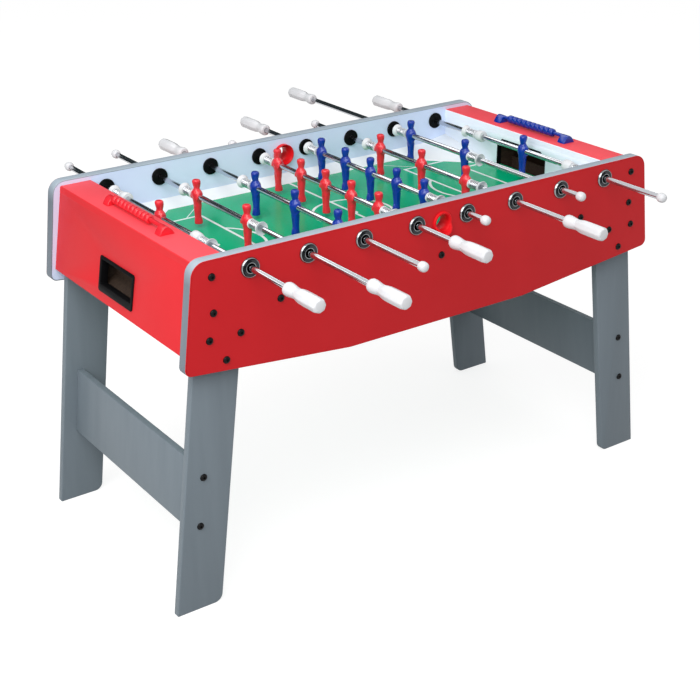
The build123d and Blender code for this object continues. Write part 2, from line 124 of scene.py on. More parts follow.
def axisParts(tree):  # X, Y and Z of the point on the piece
    parts = tree.nodes.new("ShaderNodeSeparateXYZ")
    tree.links.new(objectPoint(tree), parts.inputs[0])
    return parts.outputs


def grain(tree, scale, detail, stretch=(1, 1, 1)):
    noise = tree.nodes.new("ShaderNodeTexNoise")
    noise.inputs["Scale"].default_value = scale
    noise.inputs["Detail"].default_value = detail
    noise.inputs["Roughness"].default_value = grainRoughness
    tree.links.new(objectPoint(tree, stretch), noise.inputs["Vector"])
    return noise.outputs["Fac"]


def between(tree, value, low, high):
    node = tree.nodes.new("ShaderNodeMapRange")
    node.inputs["From Min"].default_value, node.inputs["From Max"].default_value = noiseSpan
    node.inputs["To Min"].default_value = low
    node.inputs["To Max"].default_value = high
    tree.links.new(value, node.inputs["Value"])
    return node.outputs["Result"]


def tint(tree, value, dark, light):
    ramp = tree.nodes.new("ShaderNodeValToRGB")
    for element, position, colour in zip(ramp.color_ramp.elements, noiseSpan, (dark, light)):
        element.position = position
        element.color = colour
    tree.links.new(value, ramp.inputs["Fac"])
    return ramp.outputs["Color"]


def tintLook(tree, value, look):
    return tint(tree, value, look["dark"], look["light"])


def mixColour(tree, share, first, second):
    node = tree.nodes.new("ShaderNodeMix")
    node.data_type = "RGBA"
    tree.links.new(share, node.inputs["Factor"])
    tree.links.new(first, node.inputs[6])
    tree.links.new(second, node.inputs[7])
    return node.outputs[2]


def relief(tree, shader, height, strength, distance):
    bump = tree.nodes.new("ShaderNodeBump")
    bump.inputs["Strength"].default_value = strength
    bump.inputs["Distance"].default_value = distance
    tree.links.new(height, bump.inputs["Height"])
    tree.links.new(bump.outputs["Normal"], shader.inputs["Normal"])


def skinOver(tree, shader, look):  # uneven gloss and a fine skin
    skin = grain(tree, look["skin"], skinDetail, look.get("stretch", (1, 1, 1)))
    tree.links.new(between(tree, skin, *look["gloss"]), shader.inputs["Roughness"])
    relief(tree, shader, skin, look["bump"], skinDepth)
    shader.inputs["Specular IOR Level"].default_value = look.get("shine", usualShine)


def plainFinish(name, look):  # mottled colour over the skin
    finish, tree, shader = newFinish(name)
    cloud = grain(tree, look["cloud"], cloudDetail, look.get("stretch", (1, 1, 1)))
    tree.links.new(tintLook(tree, cloud, look), shader.inputs["Base Color"])
    skinOver(tree, shader, look)
    shader.inputs["Metallic"].default_value = look.get("metal", 0.0)
    return finish


redLaminateLook = {"dark": linear(196, 24, 31), "light": linear(204, 30, 37), "cloud": 3.0, "skin": 900.0,
                   "gloss": (0.34, 0.44), "bump": 0.05, "shine": 0.2}
# end panel: a lit copy of the red laminate, painted light, brighter than the front panel
endPanelLitLook = dict(redLaminateLook, dark=linear(217, 46, 52), light=linear(225, 52, 58),
                    gloss=(0.4, 0.5), shine=0.1)
# ledge top: a lighter copy again, painted light from above
ledgeTopLitLook = dict(redLaminateLook, dark=linear(237, 76, 86), light=linear(244, 82, 92))
# edging: lighter on top, a darker copy lower down as painted shade
litEdgingLook = {"dark": linear(158, 171, 182), "light": linear(170, 183, 194)}
shadedEdgingLook = {"dark": linear(112, 122, 132), "light": linear(124, 134, 144)}
greyLaminateLook = {"dark": linear(114, 125, 133), "light": linear(121, 132, 140),
                    "cloud": 5.0, "skin": 800.0,
                    "gloss": (0.4, 0.52), "bump": 0.06, "stretch": (5, 5, 0.5), "shine": 0.25}
whiteLaminateLook = {"dark": linear(212, 225, 253), "light": linear(221, 232, 255),
                     "cloud": 4.0, "skin": 800.0,
                     "gloss": (0.34, 0.44), "bump": 0.04, "shine": 0.25}
goalWallLook = dict(whiteLaminateLook, dark=linear(232, 240, 252), light=linear(240, 246, 255))
rampLook = {"dark": linear(238, 243, 246), "light": linear(246, 249, 251), "cloud": 12.0, "skin": 900.0,
            "gloss": (0.3, 0.4), "bump": 0.04, "shine": 0.3}
whitePlasticLook = {"dark": linear(214, 216, 219), "light": linear(224, 225, 228),
                    "cloud": 30.0, "skin": 1200.0,
                    "gloss": (0.24, 0.34), "bump": 0.05, "shine": 0.25}
blackPlasticLook = {"dark": linear(8, 8, 9), "light": linear(15, 15, 17), "cloud": 40.0, "skin": 1800.0,
                    "gloss": (0.42, 0.56), "bump": 0.12, "shine": 0.06}
brownBoardLook = {"dark": linear(38, 28, 22), "light": linear(60, 46, 36), "cloud": 60.0, "skin": 500.0,
                  "gloss": (0.6, 0.75), "bump": 0.2, "stretch": (1, 4, 4), "shine": 0.2}
chromeLook = {"dark": linear(136, 140, 142), "light": linear(150, 154, 156), "cloud": 20.0, "skin": 600.0,
              "gloss": (0.12, 0.22), "bump": 0.02, "metal": 1.0}
# bowl: a darker copy of the chrome, painted shade in the dish's hollow
bowlShadeLook = dict(chromeLook, dark=linear(52, 54, 57), light=linear(66, 68, 71), gloss=(0.16, 0.26))
steelRodLook = {"dark": linear(190, 192, 197), "light": linear(205, 207, 211), "cloud": 160.0, "skin": 900.0,
                "gloss": (0.10, 0.18), "bump": 0.03, "metal": 1.0, "stretch": (1, 0.03, 1)}
springLook = dict(steelRodLook, dark=linear(206, 208, 212), light=linear(228, 230, 233),
                  stretch=(1, 1, 1), gloss=(0.18, 0.3))
redPlasticLook = {"dark": linear(218, 34, 47), "light": linear(231, 42, 56), "cloud": 60.0, "skin": 1500.0,
                  "gloss": (0.14, 0.22), "bump": 0.05, "shine": 0.5}
bluePlasticLook = {"dark": linear(0, 40, 142), "light": linear(5, 53, 160), "cloud": 60.0, "skin": 1500.0,
                   "gloss": (0.14, 0.22), "bump": 0.05, "shine": 0.5}
entryLook = dict(redPlasticLook, dark=linear(216, 22, 30), light=linear(226, 28, 36),
                 gloss=(0.3, 0.4), shine=0.15)
boltLook = {"dark": linear(6, 6, 7), "light": linear(13, 13, 14), "cloud": 90.0, "skin": 1500.0,
            "gloss": (0.3, 0.42), "bump": 0.1, "shine": 0.14}

greyLaminate = plainFinish("greyLaminate", greyLaminateLook)
goalWallLaminate = plainFinish("goalWallLaminate", goalWallLook)
rampPlastic = plainFinish("rampPlastic", rampLook)
whitePlastic = plainFinish("whitePlastic", whitePlasticLook)
blackPlastic = plainFinish("blackPlastic", blackPlasticLook)
brownBoard = plainFinish("brownBoard", brownBoardLook)
chrome = plainFinish("chrome", chromeLook)
shadedBowlChrome = plainFinish("shadedBowlChrome", bowlShadeLook)
steelRod = plainFinish("steelRod", steelRodLook)
springSteel = plainFinish("springSteel", springLook)
redPlastic = plainFinish("redPlastic", redPlasticLook)
bluePlastic = plainFinish("bluePlastic", bluePlasticLook)
entryPlastic = plainFinish("entryPlastic", entryLook)
boltBlack = plainFinish("boltBlack", boltLook)

# side panels: red laminate outside, pale laminate towards the field
# edgingRise: heights where the edging's painted shade gives way to its lit top
panelBoard = {"split": 0.312, "edgingTo": 0.3259, "edgingRise": (0.745, 0.786)}


def panelFinish(name, innerLook, outerFrom, lowLook):  # red outer face, and an inside that changes low down, painted shade on the edging
    finish, tree, shader = newFinish(name)
    parts = axisParts(tree)
    outside = calc(tree, "GREATER_THAN", calc(tree, "ABSOLUTE", parts["Y"]), outerFrom)
    cloud = grain(tree, redLaminateLook["cloud"], cloudDetail)
    rise = tree.nodes.new("ShaderNodeMapRange")
    rise.inputs["From Min"].default_value, rise.inputs["From Max"].default_value = panelBoard["edgingRise"]
    tree.links.new(parts["Z"], rise.inputs["Value"])
    low, pale, red = (tintLook(tree, cloud, look) for look in (lowLook, innerLook, redLaminateLook))
    inside = mixColour(tree, rise.outputs["Result"], low, pale)
    tree.links.new(mixColour(tree, outside, inside, red), shader.inputs["Base Color"])
    skinOver(tree, shader, redLaminateLook)
    return finish


# slanted ends: depth is measured in from the outer face of the end panel, along X
endBoard = {"top": 0.780, "topX": 0.5885, "slant": 0.1655, "brownFrom": 0.010, "faceTo": 0.0012,
            "fieldSide": 0.5136}


def endDepth(tree):
    parts = axisParts(tree)
    drop = calc(tree, "SUBTRACT", endBoard["top"], parts["Z"])
    face = calc(tree, "MULTIPLY_ADD", drop, endBoard["slant"], endBoard["topX"])
    return calc(tree, "SUBTRACT", face, calc(tree, "ABSOLUTE", parts["X"]))


def splitFinish(name, look, otherLook, edge, fieldLook):  # outer face, deeper in, and towards the field; on the ledge the deeper part is the top, painted lighter as painted light
    finish, tree, shader = newFinish(name)
    cloud = grain(tree, look["cloud"], cloudDetail)
    deeper = calc(tree, "GREATER_THAN", endDepth(tree), edge)
    board = mixColour(tree, deeper, tintLook(tree, cloud, look), tintLook(tree, cloud, otherLook))
    across = calc(tree, "ABSOLUTE", axisParts(tree)["X"])
    fieldSide = calc(tree, "LESS_THAN", across, endBoard["fieldSide"])
    fieldFace = tintLook(tree, cloud, fieldLook)
    tree.links.new(mixColour(tree, fieldSide, board, fieldFace), shader.inputs["Base Color"])
    skinOver(tree, shader, look)
    return finish


# printed field: white lines on green
fieldMarks = {"line": 0.0034, "circle": 0.095, "spot": 0.011, "boxReach": 0.297, "boxHalf": 0.193,
              "arcPlace": 0.366, "arc": 0.110, "areaReach": 0.430, "areaHalf": 0.118, "penaltySpot": 0.0075,
              "corner": 0.528, "cornerLine": 0.0016,
              "green": (linear(0, 170, 116), linear(2, 180, 127)),
              "white": (linear(226, 238, 234), linear(240, 246, 244)),
              "gloss": (0.16, 0.24), "shine": 0.2, "turf": 240.0, "turfDetail": 3.0, "glossGrain": 700.0,
              "skin": 900.0, "bump": 0.04, "bumpDepth": 0.0003}


def fieldFinish():
    finish, tree, shader = newFinish("fieldPrint")
    marks = fieldMarks
    parts = axisParts(tree)
    along = calc(tree, "ABSOLUTE", parts["X"])
    side = calc(tree, "ABSOLUTE", parts["Y"])

    def near(distance, reach):
        return calc(tree, "LESS_THAN", calc(tree, "ABSOLUTE", distance), reach)

    def ring(centre, radius):
        offset = calc(tree, "SUBTRACT", along, centre)
        square = calc(tree, "MULTIPLY_ADD", offset, offset, calc(tree, "MULTIPLY", side, side))
        return calc(tree, "SUBTRACT", calc(tree, "SQRT", square), radius)

    def openBox(reach, half):
        before, beside = calc(tree, "SUBTRACT", reach, along), calc(tree, "SUBTRACT", side, half)
        return calc(tree, "MAXIMUM", before, beside)

    line = marks["line"]
    drawn = [near(along, line), near(ring(0.0, marks["circle"]), line),
             calc(tree, "LESS_THAN", ring(0.0, marks["spot"]), 0.0),
             near(openBox(marks["boxReach"], marks["boxHalf"]), line),
             near(openBox(marks["areaReach"], marks["areaHalf"]), line),
             calc(tree, "LESS_THAN", ring(marks["arcPlace"], marks["penaltySpot"]), 0.0)]
    outsideBox = calc(tree, "LESS_THAN", along, marks["boxReach"])
    besideBox = calc(tree, "GREATER_THAN", side, marks["boxHalf"])
    slope = calc(tree, "SUBTRACT", calc(tree, "ADD", along, side), marks["corner"])
    cutCorner = near(slope, marks["cornerLine"])
    drawn.append(calc(tree, "MULTIPLY", cutCorner, besideBox))
    drawn.append(calc(tree, "MULTIPLY", near(ring(marks["arcPlace"], marks["arc"]), line), outsideBox))
    white = drawn[0]
    for mark in drawn[1:]:
        white = calc(tree, "MAXIMUM", white, mark)
    turf = grain(tree, marks["turf"], marks["turfDetail"])
    grass = tint(tree, turf, *marks["green"])
    paint = tint(tree, turf, *marks["white"])
    tree.links.new(mixColour(tree, white, grass, paint), shader.inputs["Base Color"])
    glossGrain = grain(tree, marks["glossGrain"], skinDetail)
    tree.links.new(between(tree, glossGrain, *marks["gloss"]), shader.inputs["Roughness"])
    relief(tree, shader, grain(tree, marks["skin"], skinDetail), marks["bump"], marks["bumpDepth"])
    shader.inputs["Specular IOR Level"].default_value = marks["shine"]
    return finish


# end panels: red outer face with painted light, brown further in
endPanelLitLaminate = splitFinish("endPanelLitLaminate", endPanelLitLook, brownBoardLook, endBoard["brownFrom"],
                               brownBoardLook)
# ledges: the top painted lighter than the end face, painted light; white towards the field
ledgeLitLaminate = splitFinish("ledgeLitLaminate", endPanelLitLook, ledgeTopLitLook, endBoard["faceTo"], goalWallLook)
panelLaminate = panelFinish("panelLaminate", whiteLaminateLook, panelBoard["split"], whiteLaminateLook)
# edging: painted shade on the lower runs
shadedGreyEdging = panelFinish("shadedGreyEdging", litEdgingLook, panelBoard["edgingTo"], shadedEdgingLook)
fieldPrint = fieldFinish()
print("finishes ready")


# modelling steps
mergeGap = 0.00002
usualCrease = 35  # degrees
flatWithin = 0.6  # degrees, faces closer than this become one


def clearSelection():
    if bpy.context.mode != "OBJECT":
        bpy.ops.object.mode_set(mode="OBJECT")
    bpy.ops.object.select_all(action="DESELECT")


def pick(piece):
    clearSelection()
    piece.select_set(True)
    bpy.context.view_layer.objects.active = piece


def applyModifier(piece, kind, **settings):
    pick(piece)
    modifier = piece.modifiers.new(kind.title(), kind)
    for name, value in settings.items():
        setattr(modifier, name, value)
    bpy.ops.object.modifier_apply(modifier=modifier.name)


def tidyMesh(piece):
    pick(piece)
    bpy.ops.object.mode_set(mode="EDIT")
    bpy.ops.mesh.select_all(action="SELECT")
    bpy.ops.mesh.remove_doubles(threshold=mergeGap)
    bpy.ops.mesh.normals_make_consistent(inside=False)
    bpy.ops.object.mode_set(mode="OBJECT")


def smoothPiece(piece, angle=usualCrease):
    pick(piece)
    bpy.ops.object.shade_smooth_by_angle(angle=math.radians(angle))


def easeEdges(piece, width, segments=2, angle=usualCrease):
    applyModifier(piece, "BEVEL", width=width, segments=segments, limit_method="ANGLE",
                  angle_limit=math.radians(angle), use_clamp_overlap=True)


def turnPiece(name, stations, sides, bored=False):  # stations are (height, radius), up the Z axis
    clearSelection()
    height, radius = stations[0]
    if bored:
        stations = stations + stations[:1]  # a bored profile closes on itself
    bpy.ops.mesh.primitive_circle_add(vertices=sides, radius=radius, fill_type="NOTHING" if bored else "NGON",
                                      location=(0, 0, height))
    piece = bpy.context.object
    piece.name = name
    bpy.ops.object.transform_apply(location=True, rotation=True, scale=True)
    bpy.ops.object.mode_set(mode="EDIT")
    bpy.ops.mesh.select_all(action="SELECT")
    for nextHeight, nextRadius in stations[1:]:
        bpy.ops.mesh.extrude_region_move(TRANSFORM_OT_translate={"value": (0, 0, nextHeight - height)})
        growth = nextRadius / radius
        bpy.ops.transform.resize(value=(growth, growth, 1), center_override=(0, 0, nextHeight))
        height, radius = nextHeight, nextRadius
    bpy.ops.object.mode_set(mode="OBJECT")
    tidyMesh(piece)
    return piece


def loftPiece(name, stations, sides):  # stations: height, half depth, half width, shift along, shift across
    clearSelection()
    height, depth, width, along, aside = stations[0]
    bpy.ops.mesh.primitive_circle_add(vertices=sides, radius=1.0, fill_type="NGON")
    piece = bpy.context.object
    piece.name = name
    bpy.ops.object.mode_set(mode="EDIT")
    bpy.ops.mesh.select_all(action="SELECT")
    bpy.ops.transform.resize(value=(depth, width, 1))
    bpy.ops.transform.translate(value=(along, aside, height))
    for station in stations[1:]:
        newHeight, newDepth, newWidth, newAlong, newAside = station
        step = (newAlong - along, newAside - aside, newHeight - height)
        bpy.ops.mesh.extrude_region_move(TRANSFORM_OT_translate={"value": step})
        bpy.ops.transform.resize(value=(newDepth / depth, newWidth / width, 1),
                                 center_override=(newAlong, newAside, newHeight))
        height, depth, width, along, aside = station
    bpy.ops.object.mode_set(mode="OBJECT")
    tidyMesh(piece)
    return piece


def joinPieces(name, pieces):
    clearSelection()
    for piece in pieces:
        piece.select_set(True)
    bpy.context.view_layer.objects.active = pieces[0]
    if len(pieces) > 1:
        bpy.ops.object.join()
    joined = bpy.context.view_layer.objects.active
    joined.name = name
    return joined


def placeCopy(source, name, at, turn=(0, 0, 0)):
    pick(source)
    bpy.ops.object.duplicate(linked=False)
    copy = bpy.context.object
    copy.name = name
    copy.location = at
    copy.rotation_euler = turn
    bpy.ops.object.transform_apply(location=True, rotation=True, scale=True)
    return copy


def scrap(*pieces):
    for piece in pieces:
        bpy.data.objects.remove(piece)


def fit(piece, body, finish, replaced):
    piece.data.materials.clear()
    piece.data.materials.append(finish)
    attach(piece, body)
    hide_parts(replaced)


def easeWhere(piece, width, segments, low, high):  # eases the sharp edges whose middle height is in a range
    pick(piece)
    bpy.ops.object.mode_set(mode="EDIT")
    bpy.ops.mesh.select_mode(type="EDGE")
    bpy.ops.mesh.select_all(action="DESELECT")
    shape = bmesh.from_edit_mesh(piece.data)
    for edge in shape.edges:
        height = (edge.verts[0].co.z + edge.verts[1].co.z) / 2
        sharp = len(edge.link_faces) == 2 and edge.calc_face_angle() > math.radians(usualCrease)
        edge.select_set(sharp and low < height < high)
    bmesh.update_edit_mesh(piece.data)
    bpy.ops.mesh.bevel(offset=width, segments=segments, affect="EDGES", clamp_overlap=True)
    bpy.ops.object.mode_set(mode="OBJECT")


def easedCopy(nodeName, copyName, width, finish, segments=2, heights=None):  # board, edges eased
    pick(nodes[nodeName])
    bpy.ops.object.duplicate(linked=False)
    piece = bpy.context.object
    piece.name = copyName
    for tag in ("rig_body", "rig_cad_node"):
        if tag in piece:
            del piece[tag]
    piece.parent = None
    tidyMesh(piece)
    bpy.ops.object.mode_set(mode="EDIT")
    bpy.ops.mesh.select_all(action="SELECT")
    bpy.ops.mesh.dissolve_limited(angle_limit=math.radians(flatWithin))
    bpy.ops.object.mode_set(mode="OBJECT")
    if heights:
        easeWhere(piece, width, segments, *heights)
    else:
        easeEdges(piece, width, segments)
    smoothPiece(piece)
    fit(piece, "table", finish, nodeName)


def dress(nodeName, finish):  # CAD node that keeps its shape
    node = nodes[nodeName]
    node.data.materials.clear()
    node.data.materials.append(finish)


layOut = {-1: (math.radians(90), 0, 0), 1: (math.radians(-90), 0, 0)}  # a piece made up Z, laid to -Y or +Y

# cabinet boards
ledgeSeam = 0.765  # ledge and end panel meet flush here, so no edge is eased along it
belowSeam, aboveSeam = (0.0, ledgeSeam - 0.001), (ledgeSeam + 0.010, 1.0)
dress("front_side_panel", panelLaminate)
dress("rear_side_panel", panelLaminate)
dress("playfield", fieldPrint)
easedCopy("side_panel_edging", "sidePanelEdging", 0.0011, shadedGreyEdging, 3)
easedCopy("left_end_panel", "leftEndPanel", 0.0010, endPanelLitLaminate, 2, belowSeam)
easedCopy("right_end_panel", "rightEndPanel", 0.0010, endPanelLitLaminate, 2, belowSeam)
easedCopy("end_ledges", "endLedges", 0.0030, ledgeLitLaminate, 3, aboveSeam)
easedCopy("goal_walls", "goalWalls", 0.0006, goalWallLaminate)
easedCopy("goal_frames", "goalFrames", 0.0006, blackPlastic)
easedCopy("ball_chutes", "ballChutes", 0.0006, brownBoard)
easedCopy("return_bezels", "returnBezels", 0.0012, blackPlastic, 3)
easedCopy("field_ramps", "fieldRamps", 0.0008, rampPlastic)
for place in ("front_left", "front_right", "rear_left", "rear_right"):
    words = place.split("_")
    easedCopy(place + "_leg", words[0] + words[1].title() + "Leg", 0.0022, greyLaminate, 3)
for place in ("left", "right"):
    easedCopy(place + "_stretcher", place + "Stretcher", 0.0015, greyLaminate, 3)
print("cabinet ready")

# player: one moulded figure, upright on the rod axis and facing +X
figure = {
    "voxel": 0.0010, "soften": 4, "softenShare": 0.5, "sides": 24, "limbSides": 16, "crease": 60,
    "halfWidth": 0.013,
    "torso": [(-0.026, 0.0078, 0.0092, 0.0, 0), (-0.020, 0.0086, 0.0098, 0.0003, 0),
              (-0.012, 0.0100, 0.0112, 0.0006, 0), (-0.003, 0.0122, 0.0134, 0.0006, 0),
              (0.004, 0.0126, 0.0144, 0.0003, 0), (0.0092, 0.0112, 0.0138, -0.0001, 0),
              (0.0130, 0.0086, 0.0112, -0.0003, 0), (0.0162, 0.0070, 0.0078, -0.0003, 0),
              (0.0200, 0.0068, 0.0070, 0.0, 0)],
    "head": [(0.0165, 0.0068, 0.0068, 0.0002, 0), (0.0200, 0.0074, 0.0074, 0.0005, 0),
             (0.0240, 0.0084, 0.0084, 0.0006, 0), (0.0280, 0.0092, 0.0094, 0.0004, 0),
             (0.0320, 0.0096, 0.0098, 0.0001, 0), (0.0352, 0.0092, 0.0094, -0.0001, 0),
             (0.0372, 0.0076, 0.0078, -0.0002, 0), (0.0380, 0.0050, 0.0052, -0.0002, 0)],
    "leg": [(-0.058, 0.0070, 0.0046, 0.0004, 0.0040), (-0.050, 0.0064, 0.0042, 0.0, 0.0037),
            (-0.044, 0.0064, 0.0042, -0.0002, 0.0036), (-0.036, 0.0068, 0.0045, -0.0002, 0.0038),
            (-0.029, 0.0074, 0.0050, 0.0, 0.0041), (-0.020, 0.0080, 0.0056, 0.0002, 0.0044)],
    "foot": [(-0.0655, 0.0090, 0.0080, 0.0010, 0), (-0.0650, 0.0097, 0.0086, 0.0010, 0),
             (-0.0600, 0.0098, 0.0088, 0.0010, 0), (-0.0545, 0.0088, 0.0086, 0.0006, 0),
             (-0.0500, 0.0074, 0.0078, 0.0002, 0)],
    "upperArm": [(-0.006, 0.0034, 0.0026, -0.0066, 0.0124), (0.000, 0.0038, 0.0029, -0.0056, 0.0127),
                 (0.006, 0.0040, 0.0030, -0.0028, 0.0126), (0.0105, 0.0036, 0.0029, -0.0006, 0.0116),
                 (0.0130, 0.0022, 0.0020, -0.0004, 0.0104)],
    "foreArm": [(-0.0185, 0.0024, 0.0018, 0.0040, 0.0088), (-0.0140, 0.0028, 0.0022, 0.0014, 0.0102),
                (-0.0090, 0.0030, 0.0024, -0.0028, 0.0116), (-0.0050, 0.0030, 0.0024, -0.0056, 0.0122)],
}


def mirrored(stations):
    return [(height, depth, width, along, -aside) for height, depth, width, along, aside in stations]


def makeFigure():
    limbs = [loftPiece(part, figure[part], figure["sides"]) for part in ("torso", "head", "foot")]
    for limb in ("leg", "upperArm", "foreArm"):
        for stations in (figure[limb], mirrored(figure[limb])):
            limbs.append(loftPiece(limb, stations, figure["limbSides"]))
    body = joinPieces("figure", limbs)
    applyModifier(body, "REMESH", mode="VOXEL", voxel_size=figure["voxel"])
    applyModifier(body, "SMOOTH", factor=figure["softenShare"], iterations=figure["soften"])
    tidyMesh(body)
    smoothPiece(body, figure["crease"])
    return body


# rods, players, grips and bumpers
rowList = ("red_goalie", "red_defence", "blue_attack", "red_midfield",
           "blue_midfield", "red_attack", "blue_defence", "blue_goalie")
rowPlayers = {"goalie": 1, "defence": 2, "attack": 3, "midfield": 5}
rodBar = {"radius": 0.00635, "sides": 48, "chamfer": 0.0008, "crease": 30}
grip = {"length": 0.111, "sides": 40, "crease": 40, "flatSides": 8, "flatCrease": 25,
        "ease": 0.0016, "easeFrom": 20,
        "collar": [(0.0, 0.0066), (0.0, 0.0112), (0.0014, 0.0128), (0.0045, 0.0140), (0.0080, 0.0142),
                   (0.0125, 0.0140), (0.0180, 0.0133), (0.0250, 0.0122), (0.0310, 0.0117), (0.0340, 0.0117),
                   (0.0340, 0.0066)],
        "flats": [(0.0300, 0.0106), (0.0360, 0.0121), (0.0440, 0.0139), (0.0530, 0.0153), (0.0700, 0.0156),
                  (0.1030, 0.0156), (0.1075, 0.0148), (0.1110, 0.0124)]}
endCap = {"length": 0.0205, "sides": 32, "crease": 50,
          "profile": [(0.0, 0.0066), (0.0, 0.0072), (0.0012, 0.0084), (0.0035, 0.0098), (0.0065, 0.0105),
                      (0.0100, 0.0107), (0.0135, 0.0104), (0.0165, 0.0093), (0.0185, 0.0076),
                      (0.0200, 0.0048), (0.0205, 0.0014)]}
stopCollar = {"length": 0.024, "sides": 40, "crease": 45,
              "profile": [(0.0, 0.0066), (0.0, 0.0128), (0.0020, 0.0140), (0.0120, 0.0140), (0.0180, 0.0132),
                          (0.0225, 0.0112), (0.0240, 0.0102), (0.0240, 0.0066)]}
bumper = {"length": 0.0456, "armGap": 0.0027, "cupFrom": 0.0229, "coilTo": 0.0332,
          "coil": 0.0094, "wire": 0.0021, "turns": 6, "turnSteps": 24, "wireSides": 10,
          "wireCrease": 50, "seatSides": 36, "seatCrease": 40, "cupSides": 44, "cupCrease": 45,
          "seat": [(0.0, 0.0067), (0.0, 0.0100), (0.0009, 0.0108), (0.0026, 0.0108), (0.0034, 0.0100),
                   (0.0034, 0.0067)],
          "cup": [(0.0105, 0.0068), (0.0105, 0.0108), (0.0114, 0.0117), (0.0145, 0.0131),
                  (0.0172, 0.0148), (0.0188, 0.0153), (0.0200, 0.0150), (0.0200, 0.0142), (0.0186, 0.0134),
                  (0.0168, 0.0118), (0.0154, 0.0098), (0.0148, 0.0068)]}


def pieceName(row, part):
    words = row.split("_")
    return words[0] + "".join(word.title() for word in words[1:]) + part


def rodAxis(row):  # the rod's place along the table and its height
    low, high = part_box(row + "_rod")
    return (low.x + high.x) / 2, (low.z + high.z) / 2


def makeGrip():
    collar = turnPiece("gripCollar", grip["collar"], grip["sides"], bored=True)
    smoothPiece(collar, grip["crease"])
    flats = turnPiece("gripFlats", grip["flats"], grip["flatSides"])
    easeEdges(flats, grip["ease"], 3, grip["easeFrom"])
    smoothPiece(flats, grip["flatCrease"])
    return joinPieces("grip", [collar, flats])


def makeSpring():
    clearSelection()
    bpy.ops.mesh.primitive_circle_add(vertices=bumper["wireSides"], radius=bumper["wire"] / 2,
                                      fill_type="NOTHING",
                                      location=(bumper["coil"], 0, bumper["wire"] / 2),
                                      rotation=(math.radians(90), 0, 0))
    coil = bpy.context.object
    coil.name = "coil"
    bpy.ops.object.transform_apply(location=True, rotation=True, scale=True)
    rise = bumper["coilTo"] - bumper["seat"][-1][0] - bumper["wire"]
    steps = bumper["turnSteps"] * bumper["turns"]
    applyModifier(coil, "SCREW", angle=2 * math.pi * bumper["turns"], screw_offset=rise, steps=steps,
                  render_steps=steps, axis="Z", use_merge_vertices=False)
    pick(coil)
    bpy.ops.object.mode_set(mode="EDIT")
    bpy.ops.mesh.select_all(action="DESELECT")
    bpy.ops.mesh.select_mode(type="EDGE")
    bpy.ops.mesh.select_non_manifold()
    bpy.ops.mesh.edge_face_add()
    bpy.ops.object.mode_set(mode="OBJECT")
    tidyMesh(coil)
    smoothPiece(coil, bumper["wireCrease"])
    return coil


figureMaster = makeFigure()
gripMaster = makeGrip()
capMaster = turnPiece("capMaster", endCap["profile"], endCap["sides"])
smoothPiece(capMaster, endCap["crease"])
collarMaster = turnPiece("collarMaster", stopCollar["profile"], stopCollar["sides"], bored=True)
smoothPiece(collarMaster, stopCollar["crease"])
seatMaster = turnPiece("seatMaster", bumper["seat"], bumper["seatSides"], bored=True)
smoothPiece(seatMaster, bumper["seatCrease"])
cupMaster = turnPiece("cupMaster", bumper["cup"], bumper["cupSides"], bored=True)
smoothPiece(cupMaster, bumper["cupCrease"])
springMaster = makeSpring()
print("row masters ready, figure faces:", len(figureMaster.data.polygons))

